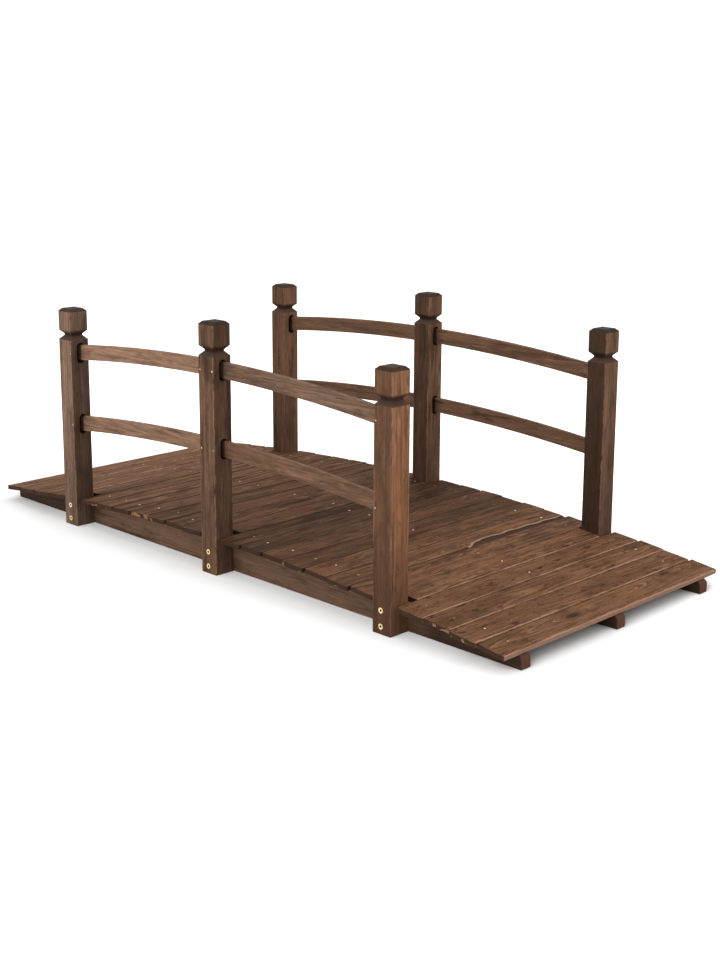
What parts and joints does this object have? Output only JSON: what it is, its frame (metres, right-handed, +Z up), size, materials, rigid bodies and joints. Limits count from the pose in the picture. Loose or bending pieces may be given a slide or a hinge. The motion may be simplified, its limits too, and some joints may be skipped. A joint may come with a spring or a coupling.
{
  "type": "arched garden bridge",
  "caption": "Low arched timber garden bridge: cross boards on curved stringers, with two-rail arched railings between grooved square posts.",
  "frame": {"origin": "middle of the bridge at ground level", "axes": "+X along the bridge, +Y across it towards the back railing, +Z up"},
  "size_m": [1.524, 0.66, 0.507],
  "materials": {
    "stringer_wood": "stained, matt",
    "post_wood": "stained, matt",
    "rail_wood": "stained, matt",
    "deck_wood": "stained, matt",
    "bolt_brass": "brushed",
    "nail_steel": "dull"
  },
  "bodies": {
    "root": {"stringer_front": "stringer_wood", "stringer_middle": "stringer_wood", "stringer_back": "stringer_wood", "post_front_left": "post_wood", "post_front_middle": "post_wood", "post_front_right": "post_wood", "upper_rail_front_left": "rail_wood", "lower_rail_front_left": "rail_wood", "upper_rail_front_right": "rail_wood", "lower_rail_front_right": "rail_wood", "post_back_left": "post_wood", "post_back_middle": "post_wood", "post_back_right": "post_wood", "upper_rail_back_left": "rail_wood", "lower_rail_back_left": "rail_wood", "upper_rail_back_right": "rail_wood", "lower_rail_back_right": "rail_wood", "deck_board_01": "deck_wood", "deck_board_02": "deck_wood", "deck_board_03": "deck_wood", "deck_board_04": "deck_wood", "deck_board_05": "deck_wood", "deck_board_06": "deck_wood", "deck_board_07": "deck_wood", "deck_board_08": "deck_wood", "deck_board_09": "deck_wood", "deck_board_10": "deck_wood", "deck_board_11": "deck_wood", "deck_board_12": "deck_wood", "deck_board_13": "deck_wood", "deck_board_14": "deck_wood", "deck_board_15": "deck_wood", "deck_board_16": "deck_wood", "deck_board_17": "deck_wood", "deck_board_18": "deck_wood", "deck_board_19": "deck_wood", "deck_board_20": "deck_wood", "deck_board_21": "deck_wood", "deck_board_22": "deck_wood", "deck_board_23": "deck_wood", "deck_board_24": "deck_wood", "deck_board_25": "deck_wood"}
  },
  "joints": []
}
